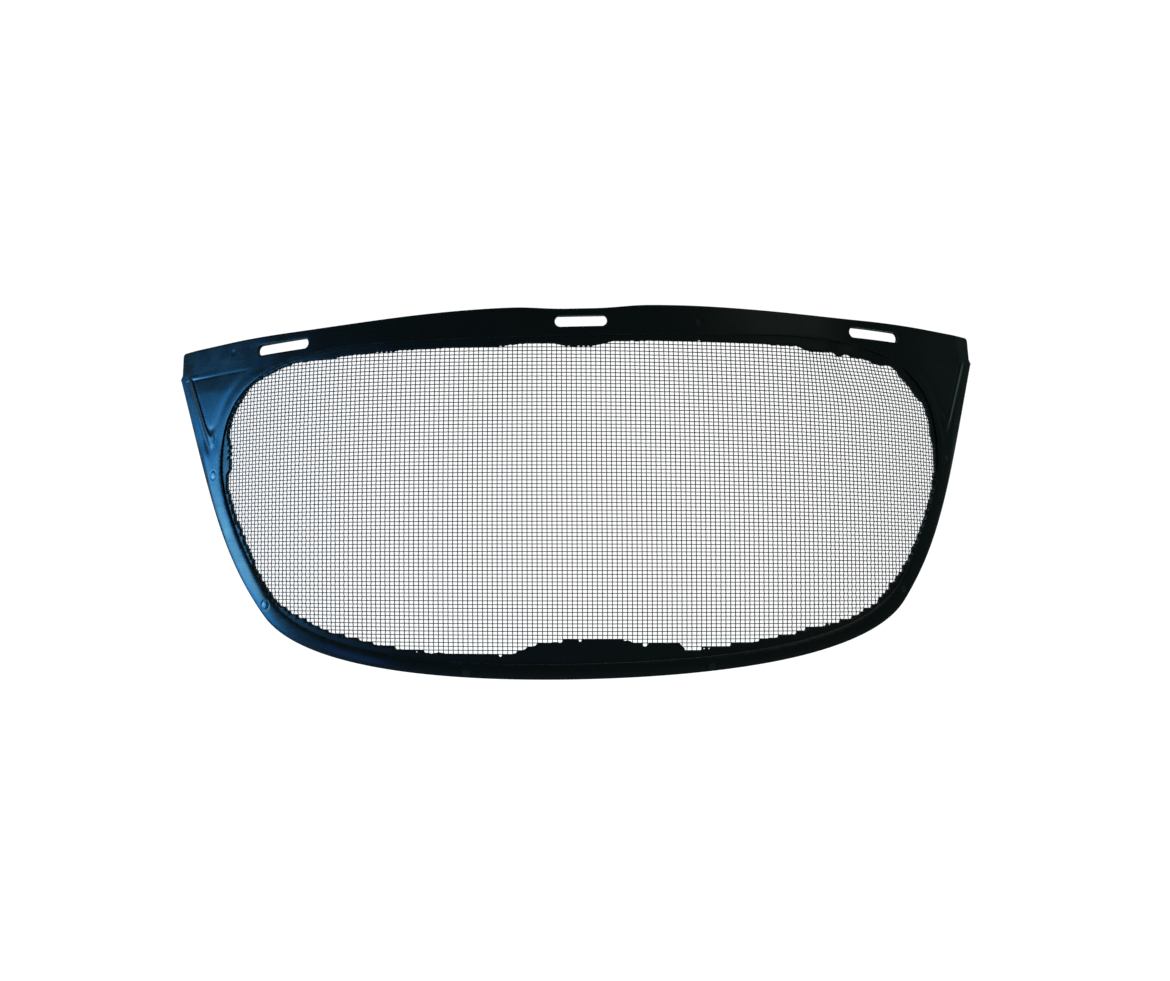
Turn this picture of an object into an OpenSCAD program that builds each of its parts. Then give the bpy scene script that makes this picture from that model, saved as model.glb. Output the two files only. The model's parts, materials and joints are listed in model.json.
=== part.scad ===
// Wire-mesh visor screen for a face protector: woven steel wire cloth trapped between two moulded
// plastic frames that are riveted together. Millimetres, upright as worn, convex front towards -Y.
// The origin is the middle of the centre mounting slot, on the mid-surface of the wire cloth.
// Outlines are drawn in the front view (X, Z) and cut through the bent wall along Y, the mould draw.

/* [Plan curve] */
// Radius of the gently curved middle
centre_r = 500; // [400:10:800]
// Arc length from the middle to where the tighter side curve starts
centre_arc = 69; // [60:1:75]
// Radius of the side curves
side_r = 188; // [170:1:230]
// Arc length from the middle to where the straight end starts
side_arc_end = 162; // [155:1:168]

/* [Outline] */
// Height of the top edge at the middle
top_mid_z = 5.2; // [4.8:0.1:6]
// Height of the two low humps beside the middle
hump_z = 6.3; // [5.2:0.1:7]
// Distance of each hump from the middle
hump_x = 28; // [28:1:38]
// Height of the top edge from the side slots to the corners
shoulder_z = 2.4; // [2:0.1:3]
// Half width at the upper corners
corner_x = 180.8; // [178:0.2:182]
// Radius of the upper corners
corner_r = 1.6; // [0.8:0.1:3]
// Height of the small step in each side edge
step_z = -9.5; // [-12:0.5:-8]
// How far the step stands out
step_out = 1.6; // [0.6:0.1:2]
// Depth of the bottom edge below the slots
bottom_z = -144.5; // [-147:0.5:-143]

/* [Window] */
// Height of the window's upper edge
window_top_z = -6.2; // [-7:0.1:-6]
// Half width of the window
window_x = 158.2; // [156:0.2:161]
// Height where the window is widest
window_wide_z = -52; // [-58:1:-46]
// Height of the window's lower edge
window_bottom_z = -138.2; // [-138.6:0.1:-136]
// How far the rear frame's lip reaches into the window
lip_w = 2.2; // [1:0.1:3]

/* [Walls] */
// Diameter of one wire of the cloth
wire_d = 0.4; // [0.2:0.02:0.46]
// Thickness of the rear frame
rear_t = 1.0; // [1:0.1:2]
// Thickness of the front frame over the cloth
front_t = 1.0; // [0.8:0.1:2]
// Height of the raised rail and corner pads on the front frame
rail_h = 0.5; // [0.3:0.1:1]
// Width of the raised rail
rail_w = 4.6; // [4:0.1:5]
// Groove between the rail and a corner pad
pad_gap = 0.8; // [0.4:0.1:1.2]
// Angle by which each side strip of the front frame falls back
strip_angle = 5; // [3:1:6]
// How far the cloth reaches under the frames
cloth_grip = 2.2; // [1.6:0.1:2.4]
// Clearance round the cloth's cut edge
cloth_gap = 0.3; // [0.2:0.1:0.6]

/* [Slots] */
// Height of every mounting slot
slot_h = 4.5; // [4.2:0.1:5]
// Length of the centre slot
centre_slot_len = 21.2; // [18:0.2:26]
// Length of each side slot
side_slot_len = 27; // [24:0.5:30]
// Arc length from the middle to a side slot
side_slot_arc = 129.2; // [126:0.2:132]
// Height of the side slots
side_slot_z = -3.2; // [-4:0.1:-2.6]
// Tilt of the side slots, outer end down
side_slot_tilt = 1.0; // [0:0.2:4]
// How much further each end of a slot reaches in the rear frame
rear_slot_gap = 1.2; // [0:0.2:1.4]

/* [Rivets] */
// Diameter of a rivet's head
rivet_head_d = 3.8; // [3.4:0.1:4.2]
// Height of a rivet's front dome
rivet_dome_h = 0.9; // [0.6:0.1:1.2]
// Thickness of a rivet's rear head, which is flush with the rear face
rivet_rear_h = 0.6; // [0.4:0.1:0.8]
// Diameter of a rivet's shank
rivet_shank_d = 2; // [1.6:0.1:2.4]
// Radial clearance of a shank in its holes
rivet_gap = 0.05; // [0.02:0.01:0.1]

/* [Hidden] */
// One rivet per entry: name, arc length from the middle, height
RIVETS = [
    ["rivet_top_outer_left", -157.7, -2.4],
    ["rivet_top_inner_left", -49, -0.8],
    ["rivet_top_inner_right", 49, -0.8],
    ["rivet_top_outer_right", 157.7, -2.4],
    ["rivet_side_left", -171.4, -55],
    ["rivet_side_right", 171.4, -55],
    ["rivet_corner_left", -138.4, -112.4],
    ["rivet_corner_right", 138.4, -112.4],
    ["rivet_bottom_left", -49, -140.8],
    ["rivet_bottom_right", 49, -140.8]
];

// Fineness of the round details
detail_fn = 48;
// Points along each curved stretch of an outline
curve_steps = 16;

// Depths of the wall's layers, counted forwards from the cloth's mid-surface
cloth_n = wire_d;
rear_n = -cloth_n - rear_t;
front_n = cloth_n + front_t;
rail_n = front_n + rail_h;
// Depth of the joint between the two frames, outside the pocket that holds the cloth
parting_n = cloth_n / 2;
// Height and depth of cutters that pass right through the wall
cut_top = 20;
cut_bottom = -160;
cut_depth = 90;
cut_front = -15;
// Half length of a slot or rivet-hole cutter, along the wall's normal
cut_reach = 10;
// How deep a raised feature starts inside the wall below it
lap = 0.1;
// Width, depth and height of the cutter of a side strip, and how far below the fold point it starts
strip_cutter = [30, 5, 110];
strip_cut_below = 80;
// Arc length at which the straight ends stop, outside the outline
wall_end = 205;
// Flats along each half of the bent part of the wall
wall_steps = 54;

// Turning angle at the end of the middle curve and along the straight ends
centre_turn = centre_arc / centre_r * 180 / PI;
end_turn = centre_turn + (side_arc_end - centre_arc) / side_r * 180 / PI;
// Point where the middle curve ends, and the centre of the side curve that follows it
centre_end = centre_r * [sin(centre_turn), 1 - cos(centre_turn)];
side_mid = centre_end + side_r * [-sin(centre_turn), cos(centre_turn)];
side_end = side_mid + side_r * [sin(end_turn), -cos(end_turn)];

// Turning angle at arc length s, and the point of the mid-surface there
function turn_at(s) = s < centre_arc
    ? s / centre_r * 180 / PI
    : min(end_turn, centre_turn + (s - centre_arc) / side_r * 180 / PI);
function point_at(s) = s < centre_arc
    ? centre_r * [sin(turn_at(s)), 1 - cos(turn_at(s))]
    : s < side_arc_end
        ? side_mid + side_r * [sin(turn_at(s)), -cos(turn_at(s))]
        : side_end + (s - side_arc_end) * [cos(end_turn), sin(end_turn)];

// Points of a cubic curve without its first point
function curve(p) = [for (i = [1 : curve_steps]) let (t = i / curve_steps, u = 1 - t)
    u * u * u * p[0] + 3 * u * u * t * p[1] + 3 * u * t * t * p[2] + t * t * t * p[3]];
// A right-hand half outline, from the top middle to the bottom middle, closed by its mirror image
function mirrored(half) = concat(half, [for (i = [len(half) - 2 : -1 : 1]) [-half[i][0], half[i][1]]]);
// Unit vector, and an outline moved outwards by d
function unit(v) = v / norm(v);
function grown(pts, d) = [for (i = [0 : len(pts) - 1]) let (
    n = len(pts),
    t = unit(pts[(i + 1) % n] - pts[(i + n - 1) % n]))
    pts[i] + d * [-t[1], t[0]]];

// Corner of the lower outline and of the window, where the side curve meets the bottom curve
outer_low_corner = [135.6, -117];
window_low_corner = [132, -110.4];
// Direction of both outlines there, towards the side
low_corner_dir = [cos(50.5), sin(50.5)];
// Start of the flank below the step, and its direction
flank_start = [corner_x + 1.2, step_z - 0.6];
flank_dir = unit([-7.6, -24]);

outer_half = concat(
    [[0, top_mid_z], [5, top_mid_z]],
    curve([[5, top_mid_z], [14, top_mid_z], [20, hump_z], [hump_x, hump_z]]),
    curve([[hump_x, hump_z], [62, hump_z], [88, shoulder_z], [122, shoulder_z]]),
    [for (a = [90 : -22.5 : 0]) [corner_x - corner_r, shoulder_z - corner_r] + corner_r * [cos(a), sin(a)]],
    [[corner_x + 0.4, step_z + 1.8], [corner_x + step_out, step_z], flank_start],
    curve([flank_start, flank_start + 60 * flank_dir,
        outer_low_corner + 34 * low_corner_dir, outer_low_corner]),
    curve([outer_low_corner, outer_low_corner - 24.5 * low_corner_dir, [68, bottom_z], [0, bottom_z]]));
window_half = concat(
    [[0, window_top_z], [40, window_top_z], [80, window_top_z]],
    curve([[80, window_top_z], [140, window_top_z], [window_x, -20], [window_x, window_wide_z]]),
    curve([[window_x, window_wide_z], [window_x, -72.8],
        window_low_corner + 7.3 * low_corner_dir, window_low_corner]),
    curve([window_low_corner, window_low_corner - 28.5 * low_corner_dir, [61.6, window_bottom_z],
        [0, window_bottom_z]]));
outer_line = mirrored(outer_half);
window_line = mirrored(window_half);

// The cloth stays this far clear of the slots
slot_margin = 1;

// Height of the ridge under the mounting land, above which nothing is raised
ridge_z = -9.8;
// Right-hand triangular pad: ends of its upper edge, and the centre and radius of its lower tip
pad_inner_x = 136;
pad_outer_x = 175.6;
pad_low = [162.9, -38.1];
pad_low_r = 1.8;
// Fold line of the right-hand side strip: a point on it, and its lean from upright
fold_arc = 186.4;
fold_z = -8.5;
fold_lean = 14;

// Point of the plan curve at signed arc length s, moved forwards by n
function wall_point(s, n) = let (
    p = point_at(abs(s)) + n * [sin(turn_at(abs(s))), -cos(turn_at(abs(s)))])
    [s < 0 ? -p[0] : p[0], p[1]];
wall_stations = concat([-wall_end],
    [for (i = [-wall_steps : wall_steps]) i * side_arc_end / wall_steps], [wall_end]);

// Wall between two depths, all round the plan curve
module wall(n_low, n_high) {
    last = len(wall_stations) - 1;
    translate([0, 0, cut_bottom])
        linear_extrude(cut_top - cut_bottom)
            polygon(concat([for (s = wall_stations) wall_point(s, n_low)],
                [for (i = [last : -1 : 0]) wall_point(wall_stations[i], n_high)]));
}

// A front-view outline cut through the whole depth along Y
module through(line) {
    translate([0, cut_depth + cut_front, 0])
        rotate([90, 0, 0])
            linear_extrude(cut_depth)
                polygon(line);
}

// Children placed on the mid-surface at arc length s and height z, with local -Y facing forwards
module on_wall(s, z) {
    p = point_at(abs(s));
    translate([s < 0 ? -p[0] : p[0], p[1], z])
        rotate([0, 0, s < 0 ? -turn_at(-s) : turn_at(s)])
            children();
}

// Round-ended cutter of one mounting slot, with a margin all round
module slot_cut(len, margin) {
    h = slot_h + 2 * margin;
    for (x = [-1, 1] * (len - slot_h) / 2)
        translate([x, cut_reach, 0])
            rotate([90, 0, 0])
                cylinder(h = 2 * cut_reach, d = h, $fn = detail_fn);
    translate([-(len - slot_h) / 2, -cut_reach, -h / 2])
        cube([len - slot_h, 2 * cut_reach, h]);
}

// Every slot's cutter, with a margin all round and more length at both ends
module all_slots(margin = 0, longer = 0) {
    slot_cut(centre_slot_len + 2 * longer, margin);
    for (side = [-1, 1])
        on_wall(side * side_slot_arc, side_slot_z)
            rotate([0, side * side_slot_tilt, 0])
                slot_cut(side_slot_len + 2 * longer, margin);
}

// Every rivet's hole, with the counterbore of its rear head
module all_rivet_holes() {
    for (r = RIVETS)
        on_wall(r[1], r[2])
            translate([0, cut_reach, 0])
                rotate([90, 0, 0]) {
                    cylinder(h = 2 * cut_reach, d = rivet_shank_d + 2 * rivet_gap, $fn = detail_fn);
                    cylinder(h = cut_reach + rear_n + rivet_rear_h, d = rivet_head_d + 2 * rivet_gap,
                        $fn = detail_fn);
                }
}

// Raised rail beside the window, below the mounting land
module rail() {
    intersection() {
        wall(front_n - lap, rail_n);
        through(grown(window_line, rail_w));
        through([[-200, ridge_z], [200, ridge_z], [200, cut_bottom], [-200, cut_bottom]]);
    }
}

// Raised triangular pad in the right-hand upper corner
module corner_pad() {
    slope = atan2(pad_outer_x - pad_low[0] - pad_low_r, ridge_z - pad_low[1]);
    difference() {
        intersection() {
            wall(front_n - lap, rail_n);
            through(concat([[pad_inner_x, ridge_z], [pad_outer_x, ridge_z]],
                [for (a = [-slope : -20 : -slope - 140]) pad_low + pad_low_r * [cos(a), sin(a)]]));
        }
        through(grown(window_line, rail_w + pad_gap));
    }
}

// Cutter that makes the right-hand side strip fall back from its fold line
module strip_cut() {
    on_wall(fold_arc, fold_z)
        rotate([0, fold_lean, 0])
            translate([0, -front_n, 0])
                rotate([0, 0, strip_angle])
                    translate([0, -strip_cutter[1], -strip_cut_below])
                        cube(strip_cutter);
}

// The space that the cloth takes, enlarged by a clearance
module cloth_space(clearance) {
    difference() {
        intersection() {
            wall(-cloth_n, cloth_n);
            through(grown(window_line, cloth_grip + clearance));
        }
        all_slots(slot_margin - clearance);
    }
}

module front_frame() {
    color([0.04, 0.06, 0.08])
        difference() {
            union() {
                intersection() {
                    wall(parting_n, front_n);
                    through(outer_line);
                }
                rail();
                corner_pad();
                mirror([1, 0, 0])
                    corner_pad();
            }
            through(window_line);
            cloth_space(cloth_gap);
            strip_cut();
            mirror([1, 0, 0])
                strip_cut();
            all_slots();
            all_rivet_holes();
        }
}

module rear_frame() {
    color([0.05, 0.06, 0.07])
        difference() {
            intersection() {
                wall(rear_n, parting_n);
                through(outer_line);
            }
            through(grown(window_line, -lip_w));
            cloth_space(cloth_gap);
            all_slots(longer = rear_slot_gap);
            all_rivet_holes();
        }
}

// The woven cloth as a plain sheet of its full thickness
module wire_mesh() {
    color([0.45, 0.46, 0.47])
        cloth_space(0);
}

// One plastic rivet: shank, domed front head and flat rear head let into the rear face
module rivet(s, z) {
    raised = z < ridge_z;
    front = raised ? rail_n : front_n;
    dome_r = (pow(rivet_head_d / 2, 2) + pow(rivet_dome_h, 2)) / (2 * rivet_dome_h);
    color([0.06, 0.08, 0.1])
        on_wall(s, z)
            rotate([90, 0, 0]) {
                translate([0, 0, rear_n])
                    cylinder(h = rivet_rear_h, d = rivet_head_d, $fn = detail_fn);
                translate([0, 0, rear_n + rivet_rear_h / 2])
                    cylinder(h = front - rear_n, d = rivet_shank_d, $fn = detail_fn);
                intersection() {
                    translate([0, 0, front + rivet_dome_h - dome_r])
                        sphere(r = dome_r, $fn = 2 * detail_fn);
                    translate([0, 0, front])
                        cylinder(h = 2 * rivet_dome_h, d = rivet_head_d, $fn = detail_fn);
                }
            }
}

front_frame();
rear_frame();
wire_mesh();
for (r = RIVETS)
    rivet(r[1], r[2]);
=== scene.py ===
"""Looks of a wire-mesh visor screen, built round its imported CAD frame.

Lengths are in millimetres until a mesh is made. The axes are those of the CAD: +Z up, the convex front
towards -Y, and the origin in the middle of the centre slot, on the mid-surface of the wire cloth.
The wall is bent in plan only, so a place on it is an arc length from the middle, a height Z, and a
distance n in front of the cloth's mid-surface.
"""

import json
import math

import bpy
import numpy as np
from mathutils import Matrix, Vector
from mathutils.geometry import delaunay_2d_cdt


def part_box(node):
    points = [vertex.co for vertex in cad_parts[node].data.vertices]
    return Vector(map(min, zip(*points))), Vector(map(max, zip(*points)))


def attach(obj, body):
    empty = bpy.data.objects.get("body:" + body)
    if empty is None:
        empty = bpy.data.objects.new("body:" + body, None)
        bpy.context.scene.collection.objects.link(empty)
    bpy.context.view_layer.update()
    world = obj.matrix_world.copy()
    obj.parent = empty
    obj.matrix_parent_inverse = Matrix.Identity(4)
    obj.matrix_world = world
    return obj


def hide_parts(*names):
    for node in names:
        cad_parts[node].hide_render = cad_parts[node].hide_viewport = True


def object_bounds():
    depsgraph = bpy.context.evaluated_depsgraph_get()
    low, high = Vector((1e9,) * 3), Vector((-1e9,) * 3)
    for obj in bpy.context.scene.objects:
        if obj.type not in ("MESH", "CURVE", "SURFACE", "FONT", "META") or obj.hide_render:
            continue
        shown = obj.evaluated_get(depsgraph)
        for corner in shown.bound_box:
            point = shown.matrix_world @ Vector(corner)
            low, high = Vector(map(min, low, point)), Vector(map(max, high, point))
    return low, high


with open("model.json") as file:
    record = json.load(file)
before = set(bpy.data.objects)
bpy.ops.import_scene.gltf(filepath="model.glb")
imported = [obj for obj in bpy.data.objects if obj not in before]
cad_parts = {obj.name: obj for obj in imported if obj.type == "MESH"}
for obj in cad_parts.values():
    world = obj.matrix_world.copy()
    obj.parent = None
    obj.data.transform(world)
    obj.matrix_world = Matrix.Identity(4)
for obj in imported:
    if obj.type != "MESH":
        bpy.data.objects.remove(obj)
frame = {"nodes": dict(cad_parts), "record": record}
cad_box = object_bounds()

MM = 0.001

# Plan curve: radius and end of the middle arc, and radius and end of the tighter side arcs
CENTRE_R, CENTRE_ARC = 500.0, 69.0
SIDE_R, SIDE_ARC_END = 188.0, 162.0

# Layers of the wall, counted forwards from the mid-surface of the cloth
WIRE_D = 0.4
CLOTH_N = WIRE_D
REAR_N = -CLOTH_N - 1.0
FRONT_N = CLOTH_N + 1.0
PARTING_N = CLOTH_N / 2

# Outline of both frames: the widest and highest points come from the CAD
WIDEST, TOP, BOTTOM = (v / MM for v in (cad_box[1].x, cad_box[1].z, cad_box[0].z))
STEP_OUT, STEP_Z = 1.6, -9.5
CORNER_X, CORNER_R = WIDEST - STEP_OUT, 1.6
TOP_MID_Z, HUMP_X, SHOULDER_Z = 5.2, 28.0, 2.4
LOW_CORNER = np.array([135.6, -117.0])
LOW_CORNER_DIR = np.array([math.cos(math.radians(50.5)), math.sin(math.radians(50.5))])
FLANK_START = np.array([CORNER_X + 1.2, STEP_Z - 0.6])
FLANK_DIR = np.array([-0.302, -0.9533])

# Window in the front frame, and how much narrower the rear frame's is all round
REAR_RIM_IN = 0.3
WINDOW_TOP, WINDOW_BOTTOM, WINDOW_X, WINDOW_WIDE_Z = -6.2, -138.2, 158.2, -52.0
WINDOW_CORNER = np.array([132.0, -110.4])

# Mounting slots: height, extra length at each end in the rear frame, then length and tilt of each by its
# mount's name
SLOT_H, REAR_SLOT_GAP = 4.5, 1.2
SLOTS = {"centre_slot": (21.2, 0.0), "right_slot": (27.0, 1.0), "left_slot": (27.0, 1.0)}

# Rounding of the moulded edges
OUTER_ROUND, RIM_ROUND, SLOT_ROUND, BACK_ROUND = 0.4, 0.35, 0.35, 0.14
# Meshes of the frames: rings beside an edge, spacing along the long edges and along a slot's, spacing of the
# points between them where the face is plain and where it has fine relief, and their gap from the edges
ROUND_STEPS = 6
EDGE_STEP, SLOT_STEP = 0.7, 0.42
COARSE_GRID, FINE_GRID, EDGE_CLEAR = 1.3, 0.32, 0.2
# Fine relief lies this far either side of the pad's outer border and of the ridge, and round a rivet
BEAD_DETAIL, RIDGE_DETAIL, RIVET_DETAIL = (-4.2, 3.4), (-2.6, 0.8), 3.0
# Distances from an edge between which its wear fades out, and from a slot between which the frame's two
# faces go from lying square behind each other, as the slot's walls need, to lying behind each other along Y
WEAR_FADE, SLOT_SLANT = (0.1, 0.7), (0, 3)

# Relief of the front frame. The rail round the window is crowned, and its crown fades out towards the ridge,
# above which the mounting land is plain.
RAIL_H, RAIL_FADE_Z, RIDGE_Z = 0.4, -20, -9.8
# Beside a corner pad the crown is only a band along the window, and keeps a share of its height
RAIL_BAND, PAD_RAIL_SHARE = 4.6, 0.3
# Corner pad: upper end and lean of its outer border, distance from the window, and how far its lower tip
# and its corners at the ridge are rounded
PAD_OUTER = np.array([176.1, RIDGE_Z])
PAD_LEAN = math.radians(20.1)
PAD_BAND, PAD_TIP, RIDGE_SOFT = 4.9, 6.0, 0.6
# Its height, and the distances over which it rises: from its border, the ridge, the window and the middle
PAD_H, PAD_RISE, PAD_BELOW_RIDGE, PAD_FROM_WINDOW, PAD_SIDE = 0.24, (-0.6, 0.6), (0, 9), (3, 9), (134, 152)
# About its lower end, and the heights between which the rail's crown narrows to the band beside it
PAD_LOW_Z = -40.0
PAD_LOW_FADE = (PAD_LOW_Z - 8, PAD_LOW_Z + 2)
# Bead on its border, groove inside the bead and valley outside it: height or depth, half width, and offset
BEAD_H, BEAD_W = 0.26, 0.72
GROOVE_H, GROOVE_W, GROOVE_IN = 0.14, 0.4, 1.35
VALLEY_H, VALLEY_W, VALLEY_OUT = 0.12, 1.0, 1.7
# All three fade out past the pad's tip, where the window comes nearer than the border by these distances,
# and the valley also ends below the ridge. Where the ridge is the nearest border, give or take its reach,
# bead and groove have only a share of their height: the least, how much it grows, and between which
# distances from the middle.
BEAD_END, RIDGE_REACH, VALLEY_TOP = (1, 6), 0.5, RIDGE_Z - 1
RIDGE_BEAD, RIDGE_GROOVE = (0.05, 0.3, 168, 177), (0.35, 0.5, 156, 176)
# Side strip: a point of its fold line, the line's sideways slope below and above it, how far the strip slopes
# back from the face, and how softly it is folded
FOLD_AT = np.array([174.9, -8.5])
FOLD_BELOW, FOLD_ABOVE = 0.2, -0.237
STRIP_SLOPE, FOLD_SOFT = math.tan(math.radians(5)), 0.25
# Distances from the window between which the pocket for the cloth ends
POCKET_END = (2.3, 2.8)

# Wire cloth: pitch of the upright and of the level wires, and how far the weave is turned in the frame
COLUMN_PITCH, ROW_PITCH = 1.99, 1.515
COLUMN_LEAN, ROW_FALL = 0.0191, 0.0266
# Points of a wire per cell and round it, fewest cells that a wire crosses, and the cloth's grip under the rim
STEPS_PER_CELL, WIRE_SIDES, FEWEST_CELLS = 3, 6, 4
UNDER_RIM = 1.7
# Middle and half sizes of the cloth in the window, and how many wires are tried each way from the origin
CLOTH_MID_Z, CLOTH_HALF_H, CLOTH_HALF_ARC = -72.0, 66.0, 166.0
CLOTH_COLUMNS, CLOTH_ROWS_DOWN, CLOTH_ROWS_UP = 92, 100, 8

# How the cloth departs from the plain wall: dome, sideways bow, and a creased patch in one upper corner
CLOTH_DOME, CLOTH_BOW = 1.4, 1.0
CREASE_ARC, CREASE_Z, CREASE_POWER = (88, 122), (-44, -8), 1.5
CREASE_PULL, CREASE_RIPPLE, RIPPLE_LENGTH = 5.5, 0.35, 3.2

# Plastic that has run into the cells along the window: its two faces, how much its front face rises at the
# rim, and how far its edge and the row beside the edge are sunk
LIP_FRONT, LIP_BACK, LIP_FILLET, FILLET_REACH = 0.74, -0.95, 0.08, 1.7
LIP_EDGE_SUNK, LIP_ROW_SUNK, LIP_EDGE_WEAR = 0.2, 0.05, 0.6
# Squares per cell each way, passes that clean and that soften the outline, and the distance from the rim
# beyond which a square simply takes its cell's distance
LIP_STEPS, LIP_CLEANINGS, LIP_SOFTENINGS, LIP_FAR = 4, 3, 3, 13.0
# How strictly whole cells are filled: the least, and how much more between two depths below the origin. Then
# how uneven the cells are, and how much further the plastic creeps along the wires than between them.
LIP_BY_CELL, LIP_UNEVEN, LIP_TOOTH = (0.3, 0.45, 20, 60), 0.5, 0.2
# Its usual reach from the rim, and where that differs: arc length, height, half sizes both ways, and change
LIP_REACH = 2.3
LIP_CHANGES = [
    (-100, -8, 12, 12, 1.2),
    (-72, -8, 18, 12, 1.0),
    (-40, -8, 14, 12, 0.8),
    (0, -8, 10.5, 12, 1.6),
    (72, -8, 20, 12, 0.7),
    (92, -8, 14, 12, 1.1),
    (103, -9, 10, 12, 2.4),
    (115, -10, 6, 12, 2.2),
    (127, -12, 9, 12, 2.2),
    (-136, -15, 17, 12, -1.2),
    (150, -24, 9, 12, 1.7),
    (158, -84, 34, 30, -1.8),
    (118, -120, 14, 10, -0.9),
    (77, -130, 26, 12, 1.2),
    (46, -134, 7, 12, 0.6),
    (-1, -134, 26, 12, 6.8),
    (31, -134, 7, 12, 4.2),
    (-45, -134, 20, 12, 0.9),
    (-104, -126, 36, 16, 0.8),
    (-142, -106, 14, 14, -1.0),
    (-163, -48, 8, 8, 2.0),
    (-153, -25, 15, 13, -1.0),
]

# Rivets: radius, rise and buried depth of a head on the rail and on the mounting land, then the ring sunk
# round the first kind, the dimple under the second, the shank and the rear head of both, and the fine gap
# sunk round a rear head
RAIL_HEAD, LAND_HEAD = (1.45, 0.07, 0.09), (0.9, 0.01, 0.1)
RING_H, RING_R, RING_W = 0.08, 1.95, 0.3
DIMPLE_H, DIMPLE_R = 0.12, 1.1
SHANK_R, REAR_HEAD_R, REAR_HEAD_T = 1.0, 1.9, 0.6
GAP_H, GAP_R, GAP_W = 0.22, 2.0, 0.16
# Steps of a head's dome and round a rivet, how flat the dome is, how thick the front head is at its edge and
# at the shank, how much the rear head stands out, and a distance at which a slot's rounding doesn't matter
HEAD_STEPS, RIVET_SIDES, DOME_POWER = 10, 40, 0.6
HEAD_EDGE, HEAD_UNDER, REAR_BULGE, FAR_FROM_SLOTS = 0.3, 0.35, 0.05, 9.0
RIVETS = [name for name in frame["nodes"] if name.startswith("rivet_")]


# ---------------------------------------------------------------- plan curve

CENTRE_TURN = CENTRE_ARC / CENTRE_R
END_TURN = CENTRE_TURN + (SIDE_ARC_END - CENTRE_ARC) / SIDE_R
SIDE_MID_X = (CENTRE_R - SIDE_R) * math.sin(CENTRE_TURN)
SIDE_MID_Y = CENTRE_R - (CENTRE_R - SIDE_R) * math.cos(CENTRE_TURN)


def turn_at(arc):
    """Angle by which the wall has turned at a signed arc length, always positive."""
    a = np.abs(arc)
    side = np.minimum(CENTRE_TURN + (a - CENTRE_ARC) / SIDE_R, END_TURN)
    return np.where(a < CENTRE_ARC, a / CENTRE_R, side)


def plan_point(arc, n=0.0):
    """X and Y at a signed arc length, n in front of the mid-surface."""
    a, t = np.abs(arc), turn_at(arc)
    past = np.maximum(a - SIDE_ARC_END, 0)
    x = np.where(a < CENTRE_ARC, CENTRE_R * np.sin(t), SIDE_MID_X + SIDE_R * np.sin(t))
    y = np.where(a < CENTRE_ARC, CENTRE_R * (1 - np.cos(t)), SIDE_MID_Y - SIDE_R * np.cos(t))
    x = x + past * math.cos(END_TURN) + n * np.sin(t)
    y = y + past * math.sin(END_TURN) - n * np.cos(t)
    return np.sign(arc) * x, y


ARCS = np.linspace(-210, 210, 8401)
ARC_X = plan_point(ARCS)[0]


def arc_at(x, n=0.0):
    """Arc length of the point at front-view X on the surface n in front of the mid-surface."""
    arc = np.interp(x, ARC_X, ARCS)
    for _ in range(4):
        arc = np.interp(x - n * np.sin(turn_at(arc)) * np.sign(arc), ARC_X, ARCS)
    return arc


def on_view(x, z, n):
    """Points at front-view X and Z, n in front of the mid-surface."""
    return np.stack([x, plan_point(arc_at(x, n), n)[1], z], 1)


def on_arc(arc, z, n):
    """Points at arc length and Z, n in front of the mid-surface."""
    x, y = plan_point(arc, n)
    return np.stack([x, y, z], 1)


def arc_near(x, y):
    """Arc length of the place on the mid-surface nearest to a plan point."""
    px, py = plan_point(ARCS)
    return float(ARCS[np.argmin((px - x) ** 2 + (py - y) ** 2)])


# ---------------------------------------------------------------- outlines

def cubic(a, b, c, d, steps=48):
    """Points of a cubic curve, without its first point."""
    t = (np.arange(1, steps + 1) / steps)[:, None]
    u = 1 - t
    a, b, c, d = (np.array(point) for point in (a, b, c, d))
    return u**3 * a + 3 * u * u * t * b + 3 * u * t * t * c + t**3 * d


def mirrored(half):
    """A right-hand half outline, from top middle to bottom middle, closed by its mirror image."""
    return np.concatenate([half, half[-2:0:-1] * [-1, 1]])


def resampled(line, step):
    """A closed line again, with evenly spaced points."""
    ring = np.concatenate([line, line[:1]])
    at = np.concatenate([[0], np.cumsum(np.linalg.norm(np.diff(ring, axis=0), axis=1))])
    where = np.linspace(0, at[-1], max(8, round(at[-1] / step)), endpoint=False)
    return np.stack([np.interp(where, at, ring[:, k]) for k in (0, 1)], 1)


def grown(line, distance):
    """A clockwise closed line moved outwards, or inwards by a negative distance."""
    along = np.roll(line, -1, 0) - np.roll(line, 1, 0)
    along /= np.linalg.norm(along, axis=1)[:, None]
    return line + distance * np.stack([-along[:, 1], along[:, 0]], 1)


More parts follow.
